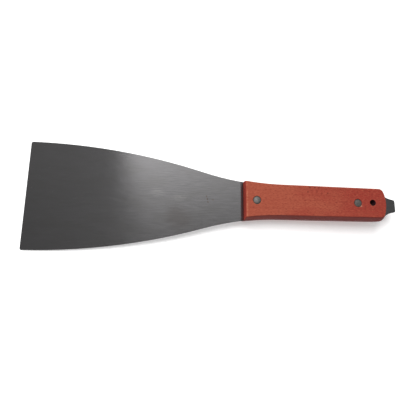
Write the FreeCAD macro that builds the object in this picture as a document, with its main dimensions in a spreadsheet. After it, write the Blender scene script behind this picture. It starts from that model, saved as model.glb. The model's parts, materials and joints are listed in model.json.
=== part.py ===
import FreeCAD, Part
import math
import os

import Sketcher

# A full-tang putty knife. One steel sheet makes the blade, the tang and a flat
# screwdriver tail; two wooden scales are riveted to the tang.
#
# Every body is drawn with x measured from the blade's scraping edge towards the
# tail and z from the middle of the sheet. Its placement then moves it into the
# part's own frame: origin under the middle of the length, on the handle's lower
# face, +X towards the tail, +Z out of the handle's upper face.

SIZES = {
    # plan outline of the steel
    "overall_length": 315.8,
    "edge_width": 91,
    "edge_corner_radius": 1.5,
    "waist_width": 29.2,
    "waist_station": 213,
    "waist_radius": 236.6,
    "butt_width": 27.8,
    "butt_corner_station": 299.4,
    "butt_corner_radius": 4.6,
    "tail_root_station": 311,
    "tail_root_width": 12.8,
    "tip_width": 10.4,
    "tip_corner_radius": 1.7,
    "tip_bevel_length": 0.9,
    "tip_bevel_depth": 0.35,
    # thickness of the steel
    "tang_thickness": 1.2,
    "edge_thickness": 0.5,
    "taper_end_station": 176,
    # wooden scales, and how far each wall draws in from the tang to the outer face
    "handle_front_station": 179.6,
    "butt_station": 305,
    "handle_thickness": 22.5,
    "front_crown": 0.5,
    "side_crown": 1.4,
    "butt_crown": 3.5,
    "butt_corner_crown": 3.9,
    "handle_edge_radius": 0.5,
    # holes and rivets
    "front_rivet_station": 189.4,
    "front_rivet_offset": -1,
    "rear_rivet_station": 276.6,
    "rear_rivet_offset": -0.6,
    "hang_hole_station": 289.7,
    "hang_hole_diameter": 5,
    "rivet_hole_diameter": 4.8,
    "counterbore_diameter": 6.7,
    "head_diameter": 6.4,
    "head_thickness": 1.6,
    "head_dome": 0.25,
    "head_recess": 0.3,
    "barrel_diameter": 4.6,
    "barrel_bore_diameter": 3.04,
    "pin_diameter": 3,
    "barrel_wall_end": 0.5,
    "closing_gap": 0.6,
}


class Length:
    """A length together with the spreadsheet rule it follows, so sums keep both in step."""

    def __init__(self, value, rule):
        self.value = value
        self.rule = rule

    def __add__(self, other):
        return Length(self.value + other.value, f"({self.rule} + {other.rule})")

    def __sub__(self, other):
        return Length(self.value - other.value, f"({self.rule} - {other.rule})")

    def __mul__(self, factor):
        return Length(self.value * factor, f"({self.rule} * {factor})")


def size(alias):
    return Length(SIZES[alias], f"Sizes.{alias}")


ZERO = Length(0, "0")
HALF_HANDLE = size("handle_thickness") * 0.5
HALF_TANG = size("tang_thickness") * 0.5
HEAD_RIM = HALF_HANDLE - size("head_recess")
HEAD_UNDER = HEAD_RIM - size("head_thickness")

# Station, offset and diameter of the holes through all three layers, and of the
# seats for the rivets' heads in each scale.
THROUGH_HOLES = [
    ("front_rivet_station", "front_rivet_offset", "rivet_hole_diameter"),
    ("rear_rivet_station", "rear_rivet_offset", "rivet_hole_diameter"),
    ("hang_hole_station", None, "hang_hole_diameter"),
]
HEAD_SEATS = [
    ("front_rivet_station", "front_rivet_offset", "counterbore_diameter"),
    ("rear_rivet_station", "rear_rivet_offset", "counterbore_diameter"),
]

# A sketch's own axes and origin, and the points of a line or an arc.
X_AXIS = -1
Y_AXIS = -2
ORIGIN = (-1, 1)
START, END, CENTRE = 1, 2, 3

doc = FreeCAD.newDocument("putty_knife")


def make_sheet():
    sheet = doc.addObject("Spreadsheet::Sheet", "Sizes")
    for row, (alias, value) in enumerate(SIZES.items(), start=1):
        sheet.set(f"A{row}", alias.replace("_", " "))
        sheet.set(f"B{row}", str(value))
        sheet.setAlias(f"B{row}", alias)
    doc.recompute()
    return sheet


def make_body(name):
    """A body in the part's frame, centred on the length and raised by half the handle."""
    body = doc.addObject("PartDesign::Body", name)
    body.Label = name
    body.setExpression(".Placement.Base.x", (size("overall_length") * -0.5).rule)
    body.setExpression(".Placement.Base.z", HALF_HANDLE.rule)
    return body


def origin_plane(body, role):
    return next(f for f in body.Origin.OriginFeatures if f.Role == role)


def make_sketch(body, name, role="XY_Plane", height=None):
    """A sketch on one of the body's origin planes, or parallel to it at a height."""
    sketch = body.newObject("Sketcher::SketchObject", name)
    sketch.AttachmentSupport = (origin_plane(body, role), [""])
    sketch.MapMode = "FlatFace"
    if height:
        sketch.setExpression(".AttachmentOffset.Base.z", height.rule)
    return sketch


def add_line(sketch, first, second):
    line = Part.LineSegment(FreeCAD.Vector(*first), FreeCAD.Vector(*second))
    return sketch.addGeometry(line)


def add_arc(sketch, centre, radius, start, end):
    """An arc from one angle to another, in degrees, anticlockwise."""
    circle = Part.Circle(FreeCAD.Vector(*centre), FreeCAD.Vector(0, 0, 1), radius)
    return sketch.addGeometry(Part.ArcOfCircle(circle, math.radians(start), math.radians(end)))


def add_point(sketch, x, y):
    return sketch.addGeometry(Part.Point(FreeCAD.Vector(x, y)), True)


def relate(sketch, kind, *where):
    """A geometric constraint."""
    sketch.addConstraint(Sketcher.Constraint(kind, *where))


def drive(sketch, kind, where, length):
    """A dimension that follows the spreadsheet."""
    index = sketch.addConstraint(Sketcher.Constraint(kind, *where, length.value))
    sketch.setExpression(f"Constraints[{index}]", length.rule)


def drive_x(sketch, point, length):
    drive(sketch, "DistanceX", (*ORIGIN, *point), length)


def drive_y(sketch, point, length):
    drive(sketch, "DistanceY", (*ORIGIN, *point), length)


def add_waist_to_corner(sketch, share, waist_start):
    """The hollow waist, the straight side behind it and the butt's rounded corner.

    The share says how far the outline is drawn in by the crowns: 0 at the tang and
    1 at the handle's outer face. The waist begins at an angle in degrees. Returns
    the waist arc and the corner arc.
    """
    inset = size("side_crown") * share
    waist_x = size("waist_station")
    waist_r = size("waist_radius") + inset
    waist_y = size("waist_radius") + size("waist_width") * 0.5
    corner_x = size("butt_corner_station") - size("butt_corner_crown") * share
    corner_r = size("butt_corner_radius")
    aim_x = size("butt_station")
    butt_y = size("butt_width") * 0.5 - inset

    waist_centre = (waist_x.value, waist_y.value)
    corner_centre = (corner_x.value, butt_y.value - corner_r.value)
    waist = add_arc(sketch, waist_centre, waist_r.value, waist_start, 270)
    side_start = (waist_x.value, waist_y.value - waist_r.value)
    side = add_line(sketch, side_start, (corner_x.value, butt_y.value))
    corner = add_arc(sketch, corner_centre, corner_r.value, 30, 90)
    aim = add_point(sketch, aim_x.value, butt_y.value)

    relate(sketch, "Tangent", waist, END, side, START)
    relate(sketch, "Tangent", side, END, corner, END)
    relate(sketch, "PointOnObject", aim, START, side)
    drive_x(sketch, (waist, CENTRE), waist_x)
    drive_y(sketch, (waist, CENTRE), waist_y)
    drive(sketch, "Radius", (waist,), waist_r)
    drive_x(sketch, (corner, CENTRE), corner_x)
    drive(sketch, "Radius", (corner,), corner_r)
    drive_x(sketch, (aim, START), aim_x)
    drive_y(sketch, (aim, START), butt_y)
    return waist, corner


def draw_steel_half(sketch):
    """The +Y half of the steel: scraping edge, flared side, waist, tang and tail."""
    length = SIZES["overall_length"]
    edge_y = SIZES["edge_width"] / 2
    edge_r = SIZES["edge_corner_radius"]
    root_x = SIZES["tail_root_station"]
    root_y = SIZES["tail_root_width"] / 2
    tip_y = SIZES["tip_width"] / 2
    tip_r = SIZES["tip_corner_radius"]

    # The flank's centre stands over the edge corner's, and its circle meets the waist's.
    waist_r = SIZES["waist_radius"]
    rise = waist_r + SIZES["waist_width"] / 2 - edge_y
    run = SIZES["waist_station"] - edge_r
    flank_r = (run**2 + rise**2 - waist_r**2) / (2 * (waist_r - rise))
    lean = math.degrees(math.atan2(rise + flank_r, run))

    edge = add_line(sketch, (0, 0), (0, edge_y - edge_r))
    edge_corner = add_arc(sketch, (edge_r, edge_y - edge_r), edge_r, 90, 180)
    flank = add_arc(sketch, (edge_r, edge_y - flank_r), flank_r, lean, 90)
    waist, butt_corner = add_waist_to_corner(sketch, 0, lean + 180)
    flare = add_arc(sketch, (root_x, 3 * root_y), 2 * root_y, 210, 260)
    tail = add_line(sketch, (root_x, root_y), (length - tip_r, tip_y))
    tip_corner = add_arc(sketch, (length - tip_r, tip_y - tip_r), tip_r, 0, 80)
    tip = add_line(sketch, (length, tip_y - tip_r), (length, 0))
    middle = add_line(sketch, (length, 0), (0, 0))
    tip_aim = add_point(sketch, length, tip_y)

    relate(sketch, "Coincident", edge, START, *ORIGIN)
    relate(sketch, "Vertical", edge)
    relate(sketch, "Tangent", edge, END, edge_corner, END)
    relate(sketch, "Tangent", edge_corner, START, flank, END)
    relate(sketch, "Vertical", edge_corner, CENTRE, flank, CENTRE)
    relate(sketch, "Tangent", flank, START, waist, START)
    relate(sketch, "Tangent", butt_corner, START, flare, START)
    relate(sketch, "Tangent", flare, END, tail, START)
    relate(sketch, "PointOnObject", tip_aim, START, tail)
    relate(sketch, "Tangent", tail, END, tip_corner, END)
    relate(sketch, "Tangent", tip_corner, START, tip, START)
    relate(sketch, "Vertical", tip)
    relate(sketch, "PointOnObject", tip, END, X_AXIS)
    relate(sketch, "Coincident", tip, END, middle, START)
    relate(sketch, "Coincident", middle, END, edge, START)
    drive(sketch, "Radius", (edge_corner,), size("edge_corner_radius"))
    drive_y(sketch, (edge_corner, START), size("edge_width") * 0.5)
    drive_x(sketch, (tail, START), size("tail_root_station"))
    drive_y(sketch, (tail, START), size("tail_root_width") * 0.5)
    drive_x(sketch, (tip_aim, START), size("overall_length"))
    drive_y(sketch, (tip_aim, START), size("tip_width") * 0.5)
    drive(sketch, "Radius", (tip_corner,), size("tip_corner_radius"))
    drive_x(sketch, (tip, END), size("overall_length"))


def draw_scale_half(sketch, share):
    """The +Y half of a scale's outline, drawn in by a share of the crowns."""
    front_x = size("handle_front_station") + size("front_crown") * share
    butt_x = size("butt_station") - size("butt_crown") * share
    drop = math.asin((SIZES["waist_station"] - front_x.value) / SIZES["waist_radius"])
    front_y = SIZES["waist_width"] / 2 + SIZES["waist_radius"] * (1 - math.cos(drop))
    butt_r = SIZES["butt_width"]

    front = add_line(sketch, (front_x.value, 0), (front_x.value, front_y))
    waist, corner = add_waist_to_corner(sketch, share, 270 - math.degrees(drop))
    butt = add_arc(sketch, (butt_x.value - butt_r, 0), butt_r, 0, 30)
    middle = add_line(sketch, (butt_x.value, 0), (front_x.value, 0))

    relate(sketch, "PointOnObject", front, START, X_AXIS)
    relate(sketch, "Vertical", front)
    relate(sketch, "Coincident", front, END, waist, START)
    relate(sketch, "Tangent", corner, START, butt, END)
    relate(sketch, "PointOnObject", butt, CENTRE, X_AXIS)
    relate(sketch, "PointOnObject", butt, START, X_AXIS)
    relate(sketch, "Coincident", butt, START, middle, START)
    relate(sketch, "Coincident", middle, END, front, START)
    drive_x(sketch, (front, START), front_x)
    drive_x(sketch, (butt, START), butt_x)


def add_circles(sketch, holes, facing=1):
    """One circle for each set of station, offset and diameter names.

    A hole without an offset lies on the X axis. Facing is -1 in a body that will be
    turned over, and 1 in the others.
    """
    for station, offset, diameter in holes:
        off_axis = size(offset) * facing if offset else ZERO
        centre = FreeCAD.Vector(SIZES[station], off_axis.value)
        circle = Part.Circle(centre, FreeCAD.Vector(0, 0, 1), SIZES[diameter] / 2)
        index = sketch.addGeometry(circle)
        drive_x(sketch, (index, CENTRE), size(station))
        if offset:
            drive_y(sketch, (index, CENTRE), off_axis)
        else:
            relate(sketch, "PointOnObject", index, CENTRE, X_AXIS)
        drive(sketch, "Diameter", (index,), size(diameter))


def cut(body, name, sketch, depth=None, both_ways=False):
    """A pocket that has to remove material: down to a depth, or right through."""
    before = body.Shape.Volume
    pocket = body.newObject("PartDesign::Pocket", name)
    pocket.Profile = sketch
    if depth:
        pocket.setExpression("Length", depth.rule)
    else:
        pocket.Type = "ThroughAll"
    pocket.Midplane = both_ways
    doc.recompute()
    if body.Shape.Volume > before - 1:
        raise ValueError(f"{name} removes nothing")
    return pocket


def mirror_half(body, feature):
    """Join a half body with its mirror image across the plane y = 0."""
    mirror = body.newObject("PartDesign::Mirrored", f"{body.Name}_mirror")
    mirror.Originals = [feature]
    mirror.MirrorPlane = (origin_plane(body, "XZ_Plane"), [""])
    body.Tip = mirror
    doc.recompute()
    return mirror


def make_blade():
    body = make_body("blade")

    outline = make_sketch(body, "blade_outline")
    draw_steel_half(outline)
    sheet = body.newObject("PartDesign::Pad", "blade_sheet")
    sheet.Profile = outline
    sheet.Midplane = True
    sheet.setExpression("Length", size("tang_thickness").rule)
    doc.recompute()
    mirror_half(body, sheet)

    grind = make_sketch(body, "blade_grind", "XZ_Plane")
    draw_wedges(grind)
    cut(body, "blade_taper", grind, both_ways=True)

    holes = make_sketch(body, "tang_holes_outline")
    add_circles(holes, THROUGH_HOLES)
    cut(body, "tang_holes", holes, both_ways=True)
    return body


def draw_wedges(sketch):
    """Thin wedges, above and below the sheet, that taper it to the scraping edge and the tip."""
    length = size("overall_length")
    edge = (ZERO, size("edge_thickness") * 0.5, size("taper_end_station"))
    tip = (length, HALF_TANG - size("tip_bevel_depth"), length - size("tip_bevel_length"))
    for side in (1, -1):
        add_wedge(sketch, side, *edge)
        add_wedge(sketch, side, *tip)


def add_wedge(sketch, side, rim_x, rim_z, end_x):
    """A triangle between the sheet's face and a slope that ends at the rim."""
    face_z = HALF_TANG * side
    slope_z = rim_z * side
    low = (rim_x.value, slope_z.value)
    high = (rim_x.value, face_z.value)
    far = (end_x.value, face_z.value)
    rim = add_line(sketch, low, high)
    face = add_line(sketch, high, far)
    slope = add_line(sketch, far, low)
    relate(sketch, "Coincident", rim, END, face, START)
    relate(sketch, "Coincident", face, END, slope, START)
    relate(sketch, "Coincident", slope, END, rim, START)
    relate(sketch, "Vertical", rim)
    relate(sketch, "Horizontal", face)
    if rim_x.value:
        drive_x(sketch, (rim, START), rim_x)
    else:
        relate(sketch, "PointOnObject", rim, START, Y_AXIS)
    drive_y(sketch, (rim, START), slope_z)
    drive_y(sketch, (rim, END), face_z)
    drive_x(sketch, (face, END), end_x)


def make_scale(name, facing=1):
    """A wooden scale. Its outline draws in towards the outer face, which crowns the sides.

    Facing is -1 for the scale that will be turned over.
    """
    body = make_body(name)
    levels = (
        ("inner", HALF_TANG, 0),
        ("middle", (HALF_TANG + HALF_HANDLE) * 0.5, 0.35),
        ("outer", HALF_HANDLE, 1),
    )
    outlines = []
    for level, height, share in levels:
        outline = make_sketch(body, f"{name}_{level}", height=height)
        draw_scale_half(outline, share)
        outlines.append(outline)
    doc.recompute()
    half = body.newObject("PartDesign::AdditiveLoft", f"{name}_block")
    half.Profile = outlines[0]
    half.Sections = outlines[1:]
    doc.recompute()
    mirror_half(body, half)

    block = body.Tip
    outer_edges = [
        f"Edge{i}"
        for i, edge in enumerate(block.Shape.Edges, start=1)
        if edge.BoundBox.ZMin > SIZES["handle_thickness"] / 2 - 0.01
    ]
    eased = body.newObject("PartDesign::Fillet", f"{name}_eased")
    eased.Base = (block, outer_edges)
    eased.setExpression("Radius", size("handle_edge_radius").rule)
    doc.recompute()

    through = make_sketch(body, f"{name}_holes_outline", height=HALF_HANDLE)
    add_circles(through, THROUGH_HOLES, facing)
    cut(body, f"{name}_holes", through)

    seats = make_sketch(body, f"{name}_seats_outline", height=HALF_HANDLE)
    add_circles(seats, HEAD_SEATS, facing)
    cut(body, f"{name}_seats", seats, depth=HALF_HANDLE - HEAD_UNDER)
    return body


def turn_over(body):
    """Set a body that is drawn face up into the handle's underside."""
    place = body.Placement
    place.Rotation = FreeCAD.Rotation(FreeCAD.Vector(1, 0, 0), 180)
    body.Placement = place


def draw_rivet_profile(sketch, points):
    """A closed profile of straight lines whose corners follow the sheet, and a domed head.

    Each point is a radius and a height. The first point is the crown of the dome on
    the axis, and the second is the head's rim.
    """
    corners = [(radius.value, height.value) for radius, height in points]
    (_, crown_y), (rim_x, rim_y) = corners[:2]
    dome_height = crown_y - rim_y
    dome_radius = (rim_x**2 + dome_height**2) / (2 * dome_height)
    rim_angle = math.degrees(math.acos(rim_x / dome_radius))
    dome = add_arc(sketch, (0, crown_y - dome_radius), dome_radius, rim_angle, 90)
    ends = corners[2:] + corners[:1]
    lines = [add_line(sketch, first, second) for first, second in zip(corners[1:], ends)]

    relate(sketch, "PointOnObject", dome, CENTRE, Y_AXIS)
    relate(sketch, "PointOnObject", dome, END, Y_AXIS)
    relate(sketch, "Coincident", dome, START, lines[0], START)
    relate(sketch, "Coincident", lines[-1], END, dome, END)
    for first, second in zip(lines, lines[1:]):
        relate(sketch, "Coincident", first, END, second, START)
    drive_y(sketch, (dome, END), points[0][1])
    for line, (radius, height) in zip(lines, points[1:]):
        if radius.value:
            drive_x(sketch, (line, START), radius)
        else:
            relate(sketch, "PointOnObject", line, START, Y_AXIS)
        drive_y(sketch, (line, START), height)


def make_rivet_half(rivet, half, points):
    """Half of a cutlery rivet, turned about its own axis, head up."""
    name = f"{rivet}_{half}"
    body = make_body(name)
    from_middle = size(f"{rivet}_station") - size("overall_length") * 0.5
    body.setExpression(".Placement.Base.x", from_middle.rule)
    body.setExpression(".Placement.Base.y", size(f"{rivet}_offset").rule)
    profile = make_sketch(body, f"{name}_profile", "XZ_Plane")
    draw_rivet_profile(profile, points)
    doc.recompute()
    turned = body.newObject("PartDesign::Revolution", f"{name}_turned")
    turned.Profile = profile
    turned.ReferenceAxis = (profile, ["V_Axis"])
    turned.Angle = 360
    doc.recompute()
    return body


def tube_half_points():
    """Head and blind tube, from the crown round to the bottom of the bore."""
    head_r = size("head_diameter") * 0.5
    tube_r = size("barrel_diameter") * 0.5
    bore_r = size("barrel_bore_diameter") * 0.5
    tube_end = size("closing_gap") - HEAD_UNDER
    bore_top = HEAD_UNDER - size("barrel_wall_end")
    return [
        (ZERO, HEAD_RIM + size("head_dome")),
        (head_r, HEAD_RIM),
        (head_r, HEAD_UNDER),
        (tube_r, HEAD_UNDER),
        (tube_r, tube_end),
        (bore_r, tube_end),
        (bore_r, bore_top),
        (ZERO, bore_top),
    ]


def pin_half_points():
    """Head and solid pin. The pin stops short of the bottom of the tube's bore."""
    head_r = size("head_diameter") * 0.5
    pin_r = size("pin_diameter") * 0.5
    pin_end = size("barrel_wall_end") + size("closing_gap") - HEAD_UNDER
    return [
        (ZERO, HEAD_RIM + size("head_dome")),
        (head_r, HEAD_RIM),
        (head_r, HEAD_UNDER),
        (pin_r, HEAD_UNDER),
        (pin_r, pin_end),
        (ZERO, pin_end),
    ]


def make_rivet(name):
    tube = make_rivet_half(name, "female", tube_half_points())
    pin = make_rivet_half(name, "male", pin_half_points())
    turn_over(pin)
    return [tube, pin]


def check_model(bodies):
    for item in doc.Objects:
        if "Invalid" in item.State or "Error" in item.State:
            raise ValueError(f"{item.Name} failed: {item.State}")
    for body in bodies:
        if body.Shape.isNull() or not body.Shape.isValid() or len(body.Shape.Solids) != 1:
            raise ValueError(f"{body.Label} has no single valid solid")


def write_parts(bodies):
    os.makedirs("parts", exist_ok=True)
    for body in bodies:
        body.Shape.exportStep(f"parts/{body.Label}.step")
        box = body.Shape.BoundBox
        print(
            f"{body.Label}: {body.Shape.Volume:.0f} mm3,"
            f" x {box.XMin:.2f} to {box.XMax:.2f}, y {box.YMin:.2f} to {box.YMax:.2f},"
            f" z {box.ZMin:.2f} to {box.ZMax:.2f}"
        )


def main():
    make_sheet()
    upper = make_scale("upper_scale")
    lower = make_scale("lower_scale", facing=-1)
    turn_over(lower)
    bodies = [make_blade(), upper, lower]
    bodies += make_rivet("front_rivet")
    bodies += make_rivet("rear_rivet")
    doc.recompute()
    check_model(bodies)
    write_parts(bodies)


main()
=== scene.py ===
import json
import math

import bmesh
import bpy
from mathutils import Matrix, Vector, noise


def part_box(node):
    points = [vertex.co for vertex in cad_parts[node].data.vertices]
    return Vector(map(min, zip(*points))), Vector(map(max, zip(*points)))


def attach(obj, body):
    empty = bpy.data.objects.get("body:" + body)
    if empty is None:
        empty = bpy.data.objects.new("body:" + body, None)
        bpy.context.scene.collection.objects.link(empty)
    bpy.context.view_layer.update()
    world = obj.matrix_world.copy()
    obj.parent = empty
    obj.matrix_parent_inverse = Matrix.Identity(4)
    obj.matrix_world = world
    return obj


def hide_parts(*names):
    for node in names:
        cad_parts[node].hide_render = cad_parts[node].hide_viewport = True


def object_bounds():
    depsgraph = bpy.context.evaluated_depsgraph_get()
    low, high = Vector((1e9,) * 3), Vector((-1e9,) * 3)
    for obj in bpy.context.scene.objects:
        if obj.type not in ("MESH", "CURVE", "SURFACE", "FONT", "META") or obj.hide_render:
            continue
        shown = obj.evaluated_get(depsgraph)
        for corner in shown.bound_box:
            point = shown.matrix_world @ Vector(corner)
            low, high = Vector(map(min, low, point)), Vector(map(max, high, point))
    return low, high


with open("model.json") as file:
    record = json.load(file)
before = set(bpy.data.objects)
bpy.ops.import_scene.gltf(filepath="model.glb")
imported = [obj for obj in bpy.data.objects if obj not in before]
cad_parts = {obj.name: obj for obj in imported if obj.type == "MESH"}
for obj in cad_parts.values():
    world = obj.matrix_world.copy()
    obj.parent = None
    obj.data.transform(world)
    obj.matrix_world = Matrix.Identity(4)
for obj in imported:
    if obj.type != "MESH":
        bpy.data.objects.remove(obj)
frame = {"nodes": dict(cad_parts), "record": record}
cad_low, cad_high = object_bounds()

MM = 0.001


def mm(*values):
    """Lengths in millimetres, as metres."""
    return tuple(value * MM for value in values)


def on_face(height, *places):
    """Points in metres at a height, from places in millimetres."""
    return [mm(x, y) + (height,) for x, y in places]


# The camera, fitted to the tool's outline. Places are in the row's frame.
CAMERA_PLACE = mm(-44.46, -76.33, 337.66)
CAMERA_TURN = (13.04, -5.30, 0.74)
CAMERA_LENS = 35.75
CAMERA_NEAR = 0.01
SENSOR_WIDTH = 36

# The floor, the key light, and the levels of the room that the steel mirrors.
FLOOR_SIZE = 4.0
FLOOR_GLOW = 0.35
KEY_PLACE = (-0.42, 0.42, 1.5)
KEY_SIZE = 1.0
KEY_POWER = 27.5
PANEL_LOW, PANEL_HIGH = 0.10, 0.96
ROOM_LOW, ROOM_HIGH = 0.105, 0.135
WALL_LEVEL = 0.25
BACKDROP_LEVEL = 0.9
FILL_LEVEL = 0.22

# The shape of the wooden scales: even faces, eased edges, a sanded unevenness, and a
# front edge with chips and dents.
SCALE_VOXEL = 0.45 * MM
EDGE_EASING = 0.03 * MM
SANDING_SIZE, SANDING_DEPTH = mm(18, 0.04)
CHIP_SIZE, CHIP_DEPTH = mm(1.3, 0.35)
DENT_SIZE, DENT_DEPTH = mm(4.0, 0.20)
SEED = Vector((3.7, 1.9, 8.3))

# Marks on the faces that look up, some of them painted highlights. The painted glints are drawn out
# lengthways by the squeeze of x.
WOOD_TOP = cad_high.z
STEEL_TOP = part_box("blade")[1].z
WOOD_PITS = on_face(WOOD_TOP, (92.5, 6.9), (77.2, 11.4), (81.5, 11.6), (85.0, 11.6), (75.2, 7.6))
# A pale patch by the rear rivet: bare wood and a painted highlight on the rim's lit edge.
REAR_RIM_CHIP_AND_HIGHLIGHT = on_face(WOOD_TOP, (121.2, -3.2))
# Where a highlight is painted on the front rivet's head.
RIVET_HIGHLIGHT_PLACE = on_face(WOOD_TOP, (30.6, -1.3))
RUST_SPECKS = on_face(STEEL_TOP, (-9.7, 3.2), (-8.4, -1.6), (-4.1, 0.3), (-9.0, 0.9))
BLADE_SMUDGE = on_face(STEEL_TOP, (-33, -16))
# Where reflections are painted on the blade as glints.
BLADE_PAINTED_GLINTS = on_face(STEEL_TOP, (-31, 1.3), (-51, 5.6))
PAINTED_GLINT_SQUEEZE = Vector((0.55, 1, 1))

# Colours, linear.
WOOD_ORANGE = (0.375, 0.090, 0.054, 1)
WOOD_RED = (0.315, 0.047, 0.034, 1)
WOOD_RING = (0.24, 0.042, 0.026, 1)
WOOD_FLECK = (0.45, 0.125, 0.072, 1)
WOOD_FIBRE = (0.185, 0.033, 0.024, 1)
WOOD_END = (0.355, 0.037, 0.032, 1)
# Painted shade for the long sides of the scales.
WOOD_SIDE_SHADE = (0.145, 0.021, 0.019, 1)
# Worn wood, also used as a painted highlight on the lit long edge.
WOOD_WORN_AND_LIT = (0.50, 0.19, 0.11, 1)
# Bare wood, also used as a painted highlight by the rear rivet.
WOOD_BARE_AND_HIGHLIGHT = (0.62, 0.34, 0.24, 1)
WOOD_PORE = (0.045, 0.012, 0.010, 1)
# Painted shade inside the hanging hole.
WOOD_HOLE_SHADE = (0.06, 0.020, 0.025, 1)
# Painted shade on the end grain next to the tang.
WOOD_SEAM_SHADE = (0.045, 0.014, 0.016, 1)
STEEL_DARK = (0.525, 0.514, 0.523, 1)
STEEL_PALE = (0.606, 0.593, 0.604, 1)
STEEL_CLOUD = (0.50, 0.49, 0.48, 1)
# Painted glint colour for the blade.
STEEL_PAINTED_GLINT = (0.80, 0.79, 0.77, 1)
STEEL_SMUDGE = (0.40, 0.36, 0.345, 1)
# Painted shade for the band in front of the handle.
STEEL_FRONT_SHADE = (0.070, 0.055, 0.065, 1)
RUST_PALE = (0.62, 0.47, 0.36, 1)
RUST_DARK = (0.20, 0.13, 0.105, 1)
TANG_STAIN = (0.17, 0.040, 0.034, 1)
RIVET_DARK = (0.34, 0.315, 0.295, 1)
RIVET_PALE = (0.52, 0.485, 0.46, 1)
# Painted shade at the rims of the rivet heads.
RIVET_RIM_SHADE = (0.10, 0.07, 0.06, 1)
RIVET_SMUDGE = (0.22, 0.20, 0.19, 1)
# Painted highlight colour for the front rivet.
RIVET_PAINTED_HIGHLIGHT = (0.74, 0.69, 0.66, 1)
FLOOR_GREY = (0.91, 0.91, 0.91, 1)
FLOOR_WHITE = (0.93, 0.93, 0.93, 1)


def blend(low, high, value):
    """0 on the low side, 1 on the high side and smooth between."""
    share = min(max((value - low) / (high - low), 0.0), 1.0)
    return share * share * (3 - 2 * share)


class Graph:
    """Short calls that add nodes to one node tree and link them."""

    def __init__(self, tree):
        self.tree = tree

    def add(self, kind, inputs=None, **settings):
        made = self.tree.nodes.new(kind)
        for name, value in settings.items():
            setattr(made, name, value)
        for name, value in (inputs or {}).items():
            self.feed(made.inputs[name], value)
        return made

    def feed(self, socket, value):
        if isinstance(value, bpy.types.NodeSocket):
            self.tree.links.new(value, socket)
        else:
            socket.default_value = value

    def math(self, operation, *values):
        made = self.add("ShaderNodeMath", operation=operation)
        for socket, value in zip(made.inputs, values):
            self.feed(socket, value)
        return made.outputs[0]

    def plus(self, first, second):
        return self.math("ADD", first, second)

    def minus(self, first, second):
        return self.math("SUBTRACT", first, second)

    def times(self, *values):
        total = values[0]
        for value in values[1:]:
            total = self.math("MULTIPLY", total, value)
        return total

    def magnitude(self, value):
        return self.math("ABSOLUTE", value)

    def vector_math(self, operation, *values, out="Vector"):
        made = self.add("ShaderNodeVectorMath", operation=operation)
        for socket, value in zip(made.inputs, values):
            self.feed(socket, value)
        return made.outputs[out]

    def split(self, vector):
        made = self.add("ShaderNodeSeparateXYZ", {"Vector": vector})
        return made.outputs["X"], made.outputs["Y"], made.outputs["Z"]

    def along_y(self, value):
        return self.add("ShaderNodeCombineXYZ", {"Y": value}).outputs[0]

    def linear(self, value, low, high, to_low=0.0, to_high=1.0, easing="LINEAR"):
        """The range from low to high taken to the range from to_low to to_high, and held beyond."""
        inputs = {
            "Value": value,
            "From Min": low,
            "From Max": high,
            "To Min": to_low,
            "To Max": to_high,
        }
        return self.add("ShaderNodeMapRange", inputs, interpolation_type=easing).outputs["Result"]

    def smooth(self, *values):
        return self.linear(*values, easing="SMOOTHSTEP")

    def mix(self, factor, first, second):
        made = self.add("ShaderNodeMix", data_type="RGBA")
        self.feed(made.inputs[0], factor)
        self.feed(made.inputs[6], first)
        self.feed(made.inputs[7], second)
        return made.outputs[2]

    def scaled(self, vector, size, shift):
        return self.vector_math("ADD", self.vector_math("DIVIDE", vector, size), shift)

    def noise(self, vector, size, detail=2.0, rough=0.5, shift=(0, 0, 0)):
        """Noise whose features have the given size along each axis."""
        moved = self.scaled(vector, size, shift)
        inputs = {"Vector": moved, "Scale": 1.0, "Detail": detail, "Roughness": rough}
        return self.add("ShaderNodeTexNoise", inputs).outputs["Fac"]

    def cells(self, vector, size):
        """Distance to the nearest of scattered points, in cells of the given size."""
        inputs = {"Vector": self.scaled(vector, size, (0, 0, 0)), "Scale": 1.0}
        return self.add("ShaderNodeTexVoronoi", inputs).outputs["Distance"]

    def bump(self, height, distance, strength):
        inputs = {"Height": height, "Distance": distance, "Strength": strength}
        return self.add("ShaderNodeBump", inputs).outputs["Normal"]

    def spots(self, vector, places, radius):
        """1 at the given places, falling to 0 at the radius."""
        total = None
        for place in places:
            away = self.vector_math("DISTANCE", vector, place, out="Value")
            spot = self.smooth(away, radius, 0.3 * radius)
            total = spot if total is None else self.math("MAXIMUM", total, spot)
        return total

    def from_axis(self, vector, centre):
        """Distance from the upright line through a point."""
        offset = self.vector_math("SUBTRACT", vector, centre)
        flat = self.vector_math("MULTIPLY", offset, (1, 1, 0))
        return self.vector_math("LENGTH", flat, out="Value")


def new_material(name):
    """A cleared material, its graph, its shader, and the place and normal of each point."""
    material = bpy.data.materials.new(name)
    material.use_nodes = True
    tree = material.node_tree
    tree.nodes.clear()
    graph = Graph(tree)
    shader = graph.add("ShaderNodeBsdfPrincipled")
    output = graph.add("ShaderNodeOutputMaterial")
    tree.links.new(shader.outputs["BSDF"], output.inputs["Surface"])
    coordinates = graph.add("ShaderNodeTexCoord")
    return material, graph, shader, coordinates.outputs["Object"], coordinates.outputs["Normal"]


def grain_lines(g, place):
    """The place bent gently sideways, so that the grain wanders."""
    wander = g.noise(place, mm(30, 9, 9), detail=3)
    return g.vector_math("ADD", place, g.along_y(g.times(wander, 4 * MM)))


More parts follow.
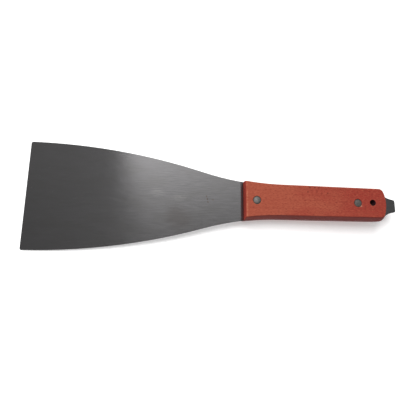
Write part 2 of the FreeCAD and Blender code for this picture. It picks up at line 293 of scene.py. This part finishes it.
def wood_grain(g, place, bent, lengthways):
    """Stain that reddens towards the butt, growth rings, pale flecks and dark fibres."""
    cloud = g.noise(place, mm(38, 16, 16), detail=2)
    redness = g.plus(lengthways, g.times(g.minus(cloud, 0.5), 1.6))
    base = g.mix(g.smooth(redness, 0.05, 0.85), WOOD_ORANGE, WOOD_RED)
    rings = g.noise(bent, mm(60, 1.6, 1.6), detail=4, rough=0.6)
    base = g.mix(g.smooth(rings, 0.35, 0.75, 0.0, 0.30), base, WOOD_RING)
    flecks = g.noise(bent, mm(2.6, 0.7, 0.7), detail=3, rough=0.7)
    base = g.mix(g.smooth(flecks, 0.50, 0.66, 0.0, 0.48), base, WOOD_FLECK)
    dashes = g.noise(bent, mm(2.1, 0.5, 0.5), detail=2, shift=(7, 2, 5))
    fibres = g.times(g.smooth(dashes, 0.50, 0.66), g.linear(lengthways, 0.0, 0.5, 0.50, 0.72))
    return g.mix(fibres, base, WOOD_FIBRE), rings, flecks


def end_stain_and_side_shade(g, base, place, normal_y, end_grain):
    """Deeper stain on the end grain, and painted shade, in streaks, on the long sides."""
    base = g.mix(g.times(end_grain, 0.65), base, WOOD_END)
    side_shade = g.smooth(g.magnitude(normal_y), 0.55, 0.85)
    streak = g.noise(place, mm(40, 3, 1.2), detail=3, shift=(6, 3, 8))
    return g.mix(g.times(side_shade, g.linear(streak, 0.3, 0.7, 0.95, 0.65)), base, WOOD_SIDE_SHADE)


def wear_and_edge_highlight(g, place, x, front_x, normal_y, upright, patchy):
    """Stain rubbed off the front edge in dashes, and paler patches on the long edge that faces the
    key light: wear there, and a painted highlight.
    """
    rounded = g.times(g.smooth(upright, 0.4, 0.7), g.smooth(upright, 0.99, 0.93))
    lit_side = g.smooth(normal_y, 0.0, 0.3)
    side_wear_and_highlight = g.times(rounded, lit_side, g.smooth(patchy, 0.35, 0.6, 0.25, 0.8))
    lip_start = g.smooth(x, front_x + 0.45 * MM, front_x + 0.8 * MM)
    lip_end = g.smooth(x, front_x + 2.6 * MM, front_x + 1.3 * MM)
    lip = g.times(lip_start, lip_end, g.smooth(upright, 0.7, 0.85))
    dashed = g.noise(place, mm(3, 0.9, 3), detail=2, rough=0.6, shift=(3, 1, 1))
    lip_wear = g.times(lip, g.smooth(dashed, 0.46, 0.58, 0.0, 0.66))
    return g.math("MAXIMUM", side_wear_and_highlight, lip_wear)


def pits_and_pores(g, place, bent):
    """A few placed pits, and small pores that gather in parts of the wood."""
    pits = g.spots(place, WOOD_PITS, 0.75 * MM)
    pores = g.smooth(g.cells(bent, mm(4.0, 2.0, 2.0)), 0.09, 0.05, 0.0, 0.6)
    rare = g.smooth(g.noise(place, mm(14, 6, 6), shift=(1, 9, 4)), 0.52, 0.6)
    return g.math("MAXIMUM", g.times(pores, rare), pits)


def hole_wall_shade(g, place, upright):
    """1 on the wall of the hanging hole, where shade is painted."""
    mount = next(m for m in frame["record"]["mounts"] if m["name"] == "hang_hole")
    radius = mount["dims"]["r_mm"] * MM
    away = g.from_axis(place, mount["pos_m"])
    return g.times(g.smooth(away, radius * 1.25, radius * 1.04), g.smooth(upright, 0.9, 0.5))


def seam_painted_shade(g, z, seam_z, end_grain):
    """Painted shade on the end grain, deeper towards the tang."""
    from_seam = g.magnitude(g.minus(z, seam_z))
    return g.times(g.smooth(from_seam, 3.5 * MM, 0.0, 0.0, 0.62), end_grain)


def wood_material(node):
    """Stained beech with a thin dull finish, worn pale at its edges, with painted shade and
    highlights in places.
    """
    material, g, shader, place, normal = new_material(f"stained_beech_{node}")
    low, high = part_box(node)
    seam_z = high.z if high.z < WOOD_TOP else low.z
    x, _, z = g.split(place)
    normal_x, normal_y, normal_z = g.split(normal)
    upright = g.magnitude(normal_z)
    end_grain = g.smooth(g.magnitude(normal_x), 0.55, 0.9)
    patchy = g.noise(place, mm(2.2, 2.2, 2.2), detail=3, rough=0.7)
    bent = grain_lines(g, place)
    base, rings, flecks = wood_grain(g, place, bent, g.linear(x, low.x, high.x))
    # End grain stained deeper, and the long sides darkened with painted shade.
    base = end_stain_and_side_shade(g, base, place, normal_y, end_grain)
    # Wear, and a painted highlight along the long edge that faces the key light.
    worn = wear_and_edge_highlight(g, place, x, low.x, normal_y, upright, patchy)
    base = g.mix(worn, base, WOOD_WORN_AND_LIT)
    dark = pits_and_pores(g, place, bent)
    base = g.mix(g.times(dark, 0.85), base, WOOD_PORE)
    # Painted shade on the wall of the hanging hole.
    base = g.mix(hole_wall_shade(g, place, upright), base, WOOD_HOLE_SHADE)
    # Bare wood and a painted highlight by the rear rivet's rim.
    base = g.mix(g.times(g.spots(place, REAR_RIM_CHIP_AND_HIGHLIGHT, 1.2 * MM), 0.4), base, WOOD_BARE_AND_HIGHLIGHT)
    # Painted shade on the end grain, deeper towards the tang.
    base = g.mix(seam_painted_shade(g, z, seam_z, end_grain), base, WOOD_SEAM_SHADE)

    g.feed(shader.inputs["Base Color"], base)
    g.feed(shader.inputs["Roughness"], g.linear(g.plus(flecks, patchy), 0.6, 1.4, 0.50, 0.70))
    shader.inputs["Specular IOR Level"].default_value = 0.04
    relief = g.plus(g.plus(g.times(flecks, 0.5), g.times(dark, -1.2)), g.times(rings, 0.6))
    g.feed(shader.inputs["Normal"], g.bump(relief, 0.05 * MM, 0.6))
    return material


def brushed_steel(g, place, x, tone):
    """Brushing in fine streaks, burnished away near the scraping edge, and cloudy patches."""
    burnished = g.linear(x, -62 * MM, -38 * MM, 0.30, 1.0)
    streaks = g.plus(g.times(g.minus(g.smooth(tone, 0.38, 0.62), 0.5), burnished), 0.5)
    cloud = g.noise(place, mm(24, 10, 10), detail=2, shift=(2, 6, 1))
    base = g.mix(streaks, STEEL_DARK, STEEL_PALE)
    return g.mix(g.smooth(cloud, 0.35, 0.7, 0.0, 0.35), base, STEEL_CLOUD), cloud


def blade_marks_and_glints(g, base, place, broad, cloud):
    """Two painted glints, a brownish smudge and a few specks of rust."""
    squeezed = g.vector_math("MULTIPLY", place, PAINTED_GLINT_SQUEEZE)
    painted_glints = g.spots(squeezed, [Vector(spot) * PAINTED_GLINT_SQUEEZE for spot in BLADE_PAINTED_GLINTS], 4.5 * MM)
    # Painted reflections, as glints in the base colour.
    base = g.mix(g.times(painted_glints, g.smooth(broad, 0.35, 0.65, 0.10, 0.42)), base, STEEL_PAINTED_GLINT)
    smudge = g.spots(place, BLADE_SMUDGE, 15 * MM)
    base = g.mix(g.times(smudge, g.smooth(cloud, 0.30, 0.60, 0.12, 0.42)), base, STEEL_SMUDGE)
    ragged = g.noise(place, mm(0.4, 0.4, 0.4), detail=2, shift=(8, 0, 3))
    rust = g.plus(g.spots(place, RUST_SPECKS, 1.0 * MM), g.times(ragged, 0.7))
    crust = g.mix(g.smooth(ragged, 0.50, 0.62), RUST_PALE, RUST_DARK)
    return g.mix(g.smooth(rust, 0.85, 1.15, 0.0, 0.75), base, crust)


def blade_front_shade(g, x, front_x):
    """A band of painted shade on the steel just in front of the handle, for the handle's dark
    reflection and shade.
    """
    near = g.smooth(x, front_x - 2.4 * MM, front_x - 1.8 * MM)
    return g.times(near, g.smooth(x, front_x + 3 * MM, front_x + 1 * MM))


def tang_stain(g, place, x, normal_z, front_x, butt_x):
    """Wood stain that has dulled the tang's edges, between the scales."""
    rim = g.smooth(g.magnitude(normal_z), 0.6, 0.4)
    start = g.smooth(x, front_x, front_x + 1 * MM)
    end = g.smooth(x, butt_x + 0.5 * MM, butt_x - 0.5 * MM)
    patches = g.noise(place, mm(6, 1, 1), detail=3, rough=0.6, shift=(4, 4, 9))
    return g.times(rim, start, end, g.linear(patches, 0.3, 0.7, 0.97, 0.80))


def blade_material():
    """Ground spring steel, brushed lengthways, so that gloss spreads across the brushing."""
    material, g, shader, place, normal = new_material("brushed_blade_steel")
    handle_low, handle_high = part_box("upper_scale")
    x = g.split(place)[0]
    lines = g.noise(place, mm(7, 0.30, 2), detail=4, rough=0.75)
    broad = g.noise(place, mm(11, 1.1, 6), detail=3, rough=0.6, shift=(4, 1, 7))
    tone = g.plus(g.times(lines, 0.5), g.times(broad, 0.5))

    base, cloud = brushed_steel(g, place, x, tone)
    base = blade_marks_and_glints(g, base, place, broad, cloud)
    # A band of painted shade in front of the handle, also made a little less metallic.
    front_shade = blade_front_shade(g, x, handle_low.x)
    base = g.mix(g.times(front_shade, 0.76), base, STEEL_FRONT_SHADE)
    stain = tang_stain(g, place, x, g.split(normal)[2], handle_low.x, handle_high.x)
    base = g.mix(stain, base, TANG_STAIN)

    g.feed(shader.inputs["Base Color"], base)
    metallic = g.times(g.linear(front_shade, 0.0, 1.0, 1.0, 0.90), g.linear(stain, 0.0, 1.0, 1.0, 0.0))
    g.feed(shader.inputs["Metallic"], metallic)
    shader.inputs["Anisotropic"].default_value = 0.9
    roughness = g.math("MAXIMUM", g.linear(tone, 0.3, 0.7, 0.13, 0.18), g.times(stain, 0.55))
    g.feed(shader.inputs["Roughness"], roughness)
    g.feed(shader.inputs["Tangent"], g.along_y(1.0))
    scratches = g.noise(place, mm(40, 0.12, 2), detail=2, shift=(0, 3, 3))
    relief = g.plus(g.plus(lines, g.times(scratches, 0.5)), g.times(broad, 2.5))
    g.feed(shader.inputs["Normal"], g.bump(relief, 0.008 * MM, 0.8))
    return material


def rivet_rim_shade(g, place):
    """1 at the rims of both rivets' heads and beyond, where shade is painted, 0 over the middle of
    each head.
    """
    rims = []
    for node in ("front_rivet_female", "rear_rivet_female"):
        low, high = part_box(node)
        head_radius = (high.x - low.x) / 2
        away = g.from_axis(place, (low + high) / 2)
        rims.append(g.smooth(away, head_radius * 0.78, head_radius))
    return g.math("MINIMUM", *rims)


def rivet_material():
    """Dull plain steel, finely scratched, with painted shade towards the rim of each head and a
    painted highlight on the front head.
    """
    material, g, shader, place, _ = new_material("dull_rivet_steel")
    grain = g.noise(place, mm(0.5, 0.5, 0.5), detail=4, rough=0.7)
    scratch = g.noise(place, mm(3, 0.15, 1), detail=2, shift=(5, 5, 1))
    tone = g.plus(g.times(grain, 0.6), g.times(scratch, 0.4))
    base = g.mix(g.smooth(tone, 0.35, 0.65), RIVET_DARK, RIVET_PALE)
    # Painted shade towards each head's rim.
    base = g.mix(g.times(rivet_rim_shade(g, place), 0.5), base, RIVET_RIM_SHADE)
    smudge = g.noise(place, mm(1.5, 1.5, 1.5), detail=2, shift=(2, 7, 3))
    base = g.mix(g.smooth(smudge, 0.45, 0.65, 0.0, 0.55), base, RIVET_SMUDGE)
    # A painted highlight on the front rivet's head.
    base = g.mix(g.times(g.spots(place, RIVET_HIGHLIGHT_PLACE, 2.9 * MM), 0.7), base, RIVET_PAINTED_HIGHLIGHT)
    g.feed(shader.inputs["Base Color"], base)
    shader.inputs["Metallic"].default_value = 0.9
    g.feed(shader.inputs["Roughness"], g.linear(tone, 0.3, 0.7, 0.34, 0.5))
    g.feed(shader.inputs["Normal"], g.bump(tone, 0.03 * MM, 0.5))
    return material


def floor_material():
    """A pale, faintly mottled floor that glows a little, so that shadows stay soft."""
    material, g, shader, place, _ = new_material("pale_floor")
    mottle = g.noise(place, mm(50, 50, 50), detail=3)
    g.feed(shader.inputs["Base Color"], g.mix(mottle, FLOOR_GREY, FLOOR_WHITE))
    shader.inputs["Roughness"].default_value = 0.9
    shader.inputs["Specular IOR Level"].default_value = 0.1
    shader.inputs["Emission Color"].default_value = (1, 1, 1, 1)
    shader.inputs["Emission Strength"].default_value = FLOOR_GLOW
    return material


def copy_of(node, name):
    """A welded copy of a CAD node's mesh, as a new object."""
    mesh = frame["nodes"][node].data.copy()
    mesh.materials.clear()
    shape = bmesh.new()
    shape.from_mesh(mesh)
    bmesh.ops.remove_doubles(shape, verts=shape.verts, dist=0.001 * MM)
    shape.to_mesh(mesh)
    shape.free()
    piece = bpy.data.objects.new(name, mesh)
    bpy.context.scene.collection.objects.link(piece)
    return piece


def remesh(piece, voxel):
    """Even faces all over, so that edges can be eased and worn."""
    modifier = piece.modifiers.new("even", "REMESH")
    modifier.mode = "VOXEL"
    modifier.voxel_size = voxel
    modifier.adaptivity = 0.0
    evaluated = piece.evaluated_get(bpy.context.evaluated_depsgraph_get())
    mesh = bpy.data.meshes.new_from_object(evaluated)
    piece.modifiers.clear()
    piece.data = mesh


def wear_depth(place, from_front, from_face):
    """How deep the front edge of an outer face is chipped and dented at a place."""
    near = blend(1.6 * MM, 0.2 * MM, from_front) * blend(1.8 * MM, 0.2 * MM, from_face)
    chips = max(noise.noise(place / CHIP_SIZE + SEED) + 0.15, 0.0)
    dents = max(noise.noise(place / DENT_SIZE - SEED), 0.0)
    return near * (CHIP_DEPTH * chips + DENT_DEPTH * dents)


def make_scale(node, outer):
    """A wooden scale with eased edges, a hand-sanded unevenness and a worn front edge.

    outer is +1 for the scale whose outer face looks up and -1 for the other. The inner
    face, which lies on the tang, stays flat.
    """
    piece = copy_of(node, f"{node}_wood")
    remesh(piece, SCALE_VOXEL)
    low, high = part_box(node)
    outer_z = high.z if outer > 0 else low.z
    shape = bmesh.new()
    shape.from_mesh(piece.data)
    axes = {"use_axis_x": True, "use_axis_y": True, "use_axis_z": True}
    bmesh.ops.smooth_vert(shape, verts=shape.verts, factor=0.4, **axes)
    shape.normal_update()
    depths = []
    for vertex in shape.verts:
        place = vertex.co
        sanded = abs(noise.noise(place / SANDING_SIZE + SEED)) * SANDING_DEPTH
        worn = wear_depth(place, place.x - low.x, abs(place.z - outer_z))
        on_tang = outer * vertex.normal.z < -0.9
        depths.append(0.0 if on_tang else EDGE_EASING + sanded + worn)
    for vertex, depth in zip(shape.verts, depths):
        vertex.co -= vertex.normal * depth
    for face in shape.faces:
        face.smooth = True
    shape.to_mesh(piece.data)
    shape.free()
    piece.data.materials.append(wood_material(node))
    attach(piece, "root")
    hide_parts(node)


def dress(node, material):
    """Give a CAD node a finished material in place of its plain one."""
    slots = frame["nodes"][node].data.materials
    slots.clear()
    slots.append(material)


def make_floor():
    """A floor under the scraping edge and under the front of the handle's lower face."""
    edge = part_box("blade")[0]
    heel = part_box("lower_scale")[0]
    slope = (edge.z - heel.z) / (edge.x - heel.x)
    mesh = bpy.data.meshes.new("floor")
    shape = bmesh.new()
    corners = []
    for across, along in ((-1, -1), (1, -1), (1, 1), (-1, 1)):
        x = across * FLOOR_SIZE / 2
        y = along * FLOOR_SIZE / 2
        corners.append(shape.verts.new((x, y, heel.z + (x - heel.x) * slope)))
    shape.faces.new(corners)
    shape.to_mesh(mesh)
    shape.free()
    floor = bpy.data.objects.new("floor", mesh)
    floor.data.materials.append(floor_material())
    bpy.context.scene.collection.objects.link(floor)


def make_camera():
    data = bpy.data.cameras.new("camera")
    data.sensor_width = SENSOR_WIDTH
    data.lens = CAMERA_LENS
    data.clip_start = CAMERA_NEAR
    camera = bpy.data.objects.new("camera", data)
    camera.location = CAMERA_PLACE
    camera.rotation_euler = [math.radians(angle) for angle in CAMERA_TURN]
    bpy.context.scene.collection.objects.link(camera)
    bpy.context.scene.camera = camera


def make_key_light():
    """A soft round light above the tool, which the steel doesn't mirror."""
    data = bpy.data.lights.new("key", "AREA")
    data.shape = "DISK"
    data.size = KEY_SIZE
    data.energy = KEY_POWER
    light = bpy.data.objects.new("key", data)
    light.location = KEY_PLACE
    light.rotation_euler = Vector(KEY_PLACE).to_track_quat("Z", "Y").to_euler()
    light.visible_glossy = False
    bpy.context.scene.collection.objects.link(light)


def ceiling_level(g, x, y, z):
    """A bright panel with a slanting border, which fades to the east, in a dim ceiling."""
    height = g.math("MAXIMUM", z, 0.05)
    east = g.math("DIVIDE", x, height)
    north = g.math("DIVIDE", y, height)
    inside = g.minus(east, g.linear(north, 0.142, 0.344, -0.030, -0.121))
    lit = g.times(g.smooth(inside, -0.010, 0.018), g.linear(east, 0.66, 0.0))
    climb = g.math("POWER", g.linear(north, 0.10, 0.46), 1.4)
    ridge = g.smooth(g.magnitude(g.minus(inside, 0.055)), 0.045, 0.0, 1.0, 1.10)
    glow = g.times(g.linear(climb, 0.0, 1.0, PANEL_LOW, PANEL_HIGH), ridge)
    shade = g.linear(east, -0.36, -0.14, ROOM_LOW, ROOM_HIGH)
    shade = g.plus(shade, g.linear(north, 0.1, 0.36, -0.020, 0.026))
    shade = g.times(shade, g.linear(east, 0.2, 0.55, 1.0, 0.63))
    return g.plus(g.times(lit, glow), g.times(g.minus(1.0, lit), shade))


def make_world():
    """A room with a soft ceiling panel, which the steel mirrors, and pale walls."""
    world = bpy.data.worlds.new("studio")
    world.use_nodes = True
    tree = world.node_tree
    tree.nodes.clear()
    g = Graph(tree)
    x, y, z = g.split(g.add("ShaderNodeTexCoord").outputs["Generated"])
    wall = g.smooth(z, 0.62, 0.25)
    wall_level = g.smooth(x, 0.3, 0.8, WALL_LEVEL, 0.3 * WALL_LEVEL)
    open_part = g.times(g.minus(1.0, wall), ceiling_level(g, x, y, z))
    level = g.plus(g.times(wall, wall_level), open_part)
    path = g.add("ShaderNodeLightPath")
    level = g.mix(path.outputs["Is Camera Ray"], level, (BACKDROP_LEVEL,) * 3 + (1,))
    level = g.mix(path.outputs["Is Diffuse Ray"], level, (FILL_LEVEL,) * 3 + (1,))
    light = g.add("ShaderNodeBackground", {"Color": level, "Strength": 1.0})
    output = g.add("ShaderNodeOutputWorld")
    tree.links.new(light.outputs[0], output.inputs["Surface"])
    bpy.context.scene.world = world


bpy.context.scene.view_settings.view_transform = "Standard"
make_camera()
make_world()
make_key_light()
make_floor()
make_scale("upper_scale", 1)
make_scale("lower_scale", -1)
dress("blade", blade_material())
rivet_steel = rivet_material()
for rivet in ("front_rivet", "rear_rivet"):
    for half in ("female", "male"):
        dress(f"{rivet}_{half}", rivet_steel)
